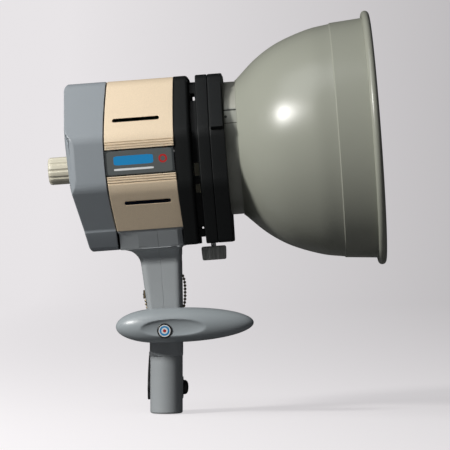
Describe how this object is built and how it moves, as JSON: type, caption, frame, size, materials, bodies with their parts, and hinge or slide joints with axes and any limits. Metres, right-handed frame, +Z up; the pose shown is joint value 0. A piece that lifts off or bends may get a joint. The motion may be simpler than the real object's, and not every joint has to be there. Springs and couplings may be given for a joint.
{
  "type": "studio flash head",
  "caption": "Studio flash head with a round bell reflector, vented housing and rear controls, on a tilting bracket with a locking lever and a stand socket.",
  "frame": {"origin": "centre of the stand socket's mouth", "axes": "+Z up along the stand socket, +X to the side the lamp faces, -Y to the side with the tilt lever; at rest the optical axis points 4.2 degrees above +X"},
  "size_m": [0.2706, 0.2028, 0.3213],
  "materials": {
    "bracket_grey": "satin grey paint on a casting",
    "lever_grey": "satin grey moulding",
    "housing_grey": "satin blue-grey paint",
    "champagne": "fine satin champagne paint",
    "plate_gloss": "glossy printed plate",
    "badge_enamel": "domed enamel badge",
    "ring_black": "satin black paint",
    "black_plastic": "fine grained black moulding",
    "panel_grey": "dark satin panel",
    "steel": "plain turned steel",
    "zinc_sheet": "bare sheet",
    "washer_fibre": "fibre",
    "graphite_metal": "dark satin metal",
    "chain_brass": "dull brass",
    "cap_brass": "bright pressed cap",
    "copper_wire": "enamelled winding",
    "ivory_plastic": "satin ivory moulding",
    "red_lens": "clear red lens",
    "smoked_lens": "dark red lens",
    "capacitor_blue": "printed sleeve",
    "board_green": "circuit board",
    "ceramic_white": "unglazed ceramic",
    "frosted_glass": "frosted",
    "tube_glass": "clear glass",
    "collar_metal": "satin grey-green paint on rolled strip",
    "reflector_paint": "satin warm grey-green paint"
  },
  "bodies": {
    "stand": {"stand_socket": "bracket_grey", "clamp_dome_nut": "black_plastic", "tilt_bolt": "steel", "friction_washers": "washer_fibre", "thrust_washer": "steel"},
    "clamp_lever": {"stand_lock_lever": "black_plastic", "clamp_bolt": "steel"},
    "tilt_lock": {"tilt_lever": "lever_grey", "lever_insert": "chain_brass", "lever_badge": "badge_enamel"},
    "head": {"rear_housing": "housing_grey", "upper_shell": "champagne", "lower_shell": "champagne", "nameplate_near": "plate_gloss", "nameplate_far": "plate_gloss", "stalk_rear": "bracket_grey", "stalk_front": "bracket_grey", "tilt_knuckle": "steel", "stalk_screws": "steel", "knuckle_pins": "steel", "bead_chain": "chain_brass", "chain_clasp": "chain_brass", "chain_eye_screw": "steel", "control_panel": "panel_grey", "power_pot": "black_plastic", "main_switch_body": "black_plastic", "lamp_switch_body": "black_plastic", "button_bezel": "black_plastic", "ready_lamp": "red_lens", "slave_sensor": "smoked_lens", "sync_socket": "steel", "fuse_holder": "black_plastic", "chassis": "zinc_sheet", "flash_capacitors": "capacitor_blue", "control_board": "board_green", "transformer_core": "steel", "transformer_winding": "copper_wire", "front_bulkhead": "zinc_sheet", "front_ring": "ring_black", "vent_hub": "ring_black", "adapter_plate_rear": "ring_black", "adapter_plate_front": "ring_black", "latch_cover": "ring_black", "base_posts": "steel", "lamp_base": "ceramic_white", "lamp_socket": "ceramic_white", "lamp_cap": "cap_brass", "lamp_bulb": "frosted_glass", "flash_tube": "tube_glass"},
    "power_dial": {"power_knob": "ivory_plastic", "knob_shaft": "steel"},
    "main_rocker": {"main_switch_rocker": "black_plastic"},
    "lamp_rocker": {"lamp_switch_rocker": "black_plastic"},
    "test_key": {"test_button": "ivory_plastic"},
    "thumbscrew": {"lock_screw": "steel", "lock_knob": "graphite_metal"},
    "reflector": {"reflector_collar": "collar_metal", "collar_rivet": "steel", "reflector_bowl": "reflector_paint"}
  },
  "joints": [
    {"name": "head_tilt", "type": "hinge", "parent": "stand", "child": "head", "pos_m": [0, 0, 0.067], "axis": [0, 1, 0], "range_deg": [-85, 52]},
    {"name": "tilt_lock_turn", "type": "hinge", "parent": "stand", "child": "tilt_lock", "pos_m": [0, 0, 0.067], "axis": [0, 1, 0], "range_deg": [-30, 30]},
    {"name": "stand_lock_turn", "type": "hinge", "parent": "stand", "child": "clamp_lever", "pos_m": [-0.014, 0.0122, 0.02], "axis": [1, 0, 0], "range_deg": [-20, 170]},
    {"name": "power_dial_turn", "type": "hinge", "parent": "head", "child": "power_dial", "pos_m": [-0.08452, 0, 0.19385], "axis": [0.9973, 0, 0.0732], "range_deg": [-270, 0]},
    {"name": "main_rocker_tip", "type": "hinge", "parent": "head", "child": "main_rocker", "pos_m": [-0.07011, 0.0225, 0.18889], "axis": [0, 1, 0], "range_deg": [-18, 0]},
    {"name": "lamp_rocker_tip", "type": "hinge", "parent": "head", "child": "lamp_rocker", "pos_m": [-0.07011, -0.0225, 0.18889], "axis": [0, 1, 0], "range_deg": [-18, 0]},
    {"name": "test_key_press", "type": "slide", "parent": "head", "child": "test_key", "axis": [0.9973, 0, 0.0732], "range_m": [0, 0.0012], "stiffness_N_per_m": 400},
    {"name": "thumbscrew_turn", "type": "hinge", "parent": "head", "child": "thumbscrew", "pos_m": [0.03809, 0, 0.12865], "axis": [-0.0732, 0, 0.9973], "continuous": true},
    {"name": "reflector_slide", "type": "slide", "parent": "head", "child": "reflector", "axis": [0.9973, 0, 0.0732], "range_m": [0, 0.025]}
  ]
}
